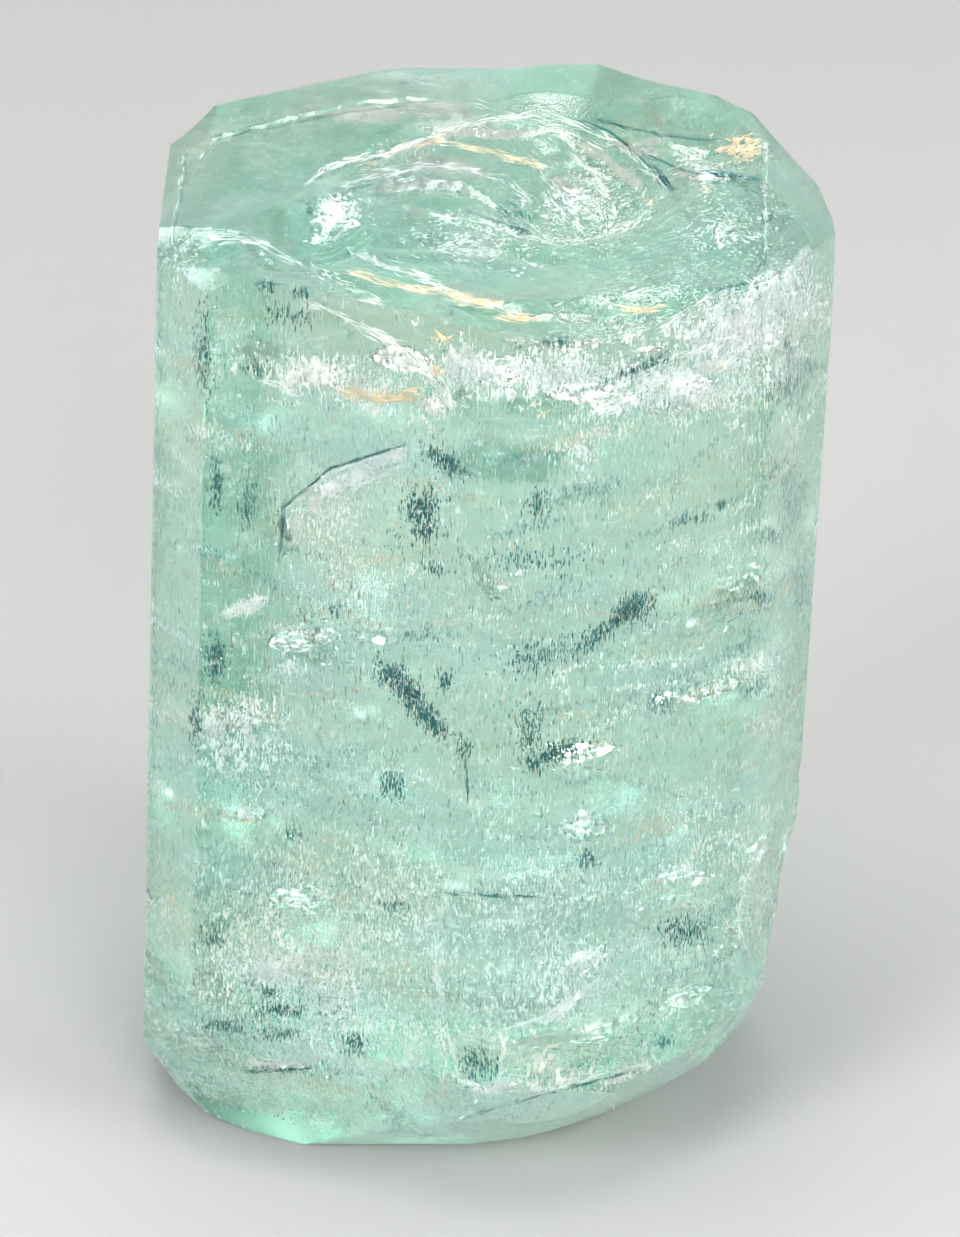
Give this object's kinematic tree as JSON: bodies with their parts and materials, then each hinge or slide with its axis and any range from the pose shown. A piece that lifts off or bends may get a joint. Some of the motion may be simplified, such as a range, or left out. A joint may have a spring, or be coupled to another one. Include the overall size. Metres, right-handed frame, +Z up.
{
  "type": "aquamarine crystal",
  "caption": "Stout see-through pale aqua beryl prism with a dished broken top, a bevelled broken foot that it stands on, and chipped edges.",
  "frame": {"origin": "on the resting face, under the middle of the crystal's box", "axes": "+Z up, along the crystal's length, which leans about 2 degrees towards +X; the broad front face looks towards -Y"},
  "size_m": [0.0378, 0.0392, 0.0527],
  "materials": {
    "aquamarine": "see-through pale blue-green crystal, finely striated along its length, with veils, fractures and a few ochre stains"
  },
  "bodies": {
    "root": {"crystal": "aquamarine"}
  },
  "joints": []
}
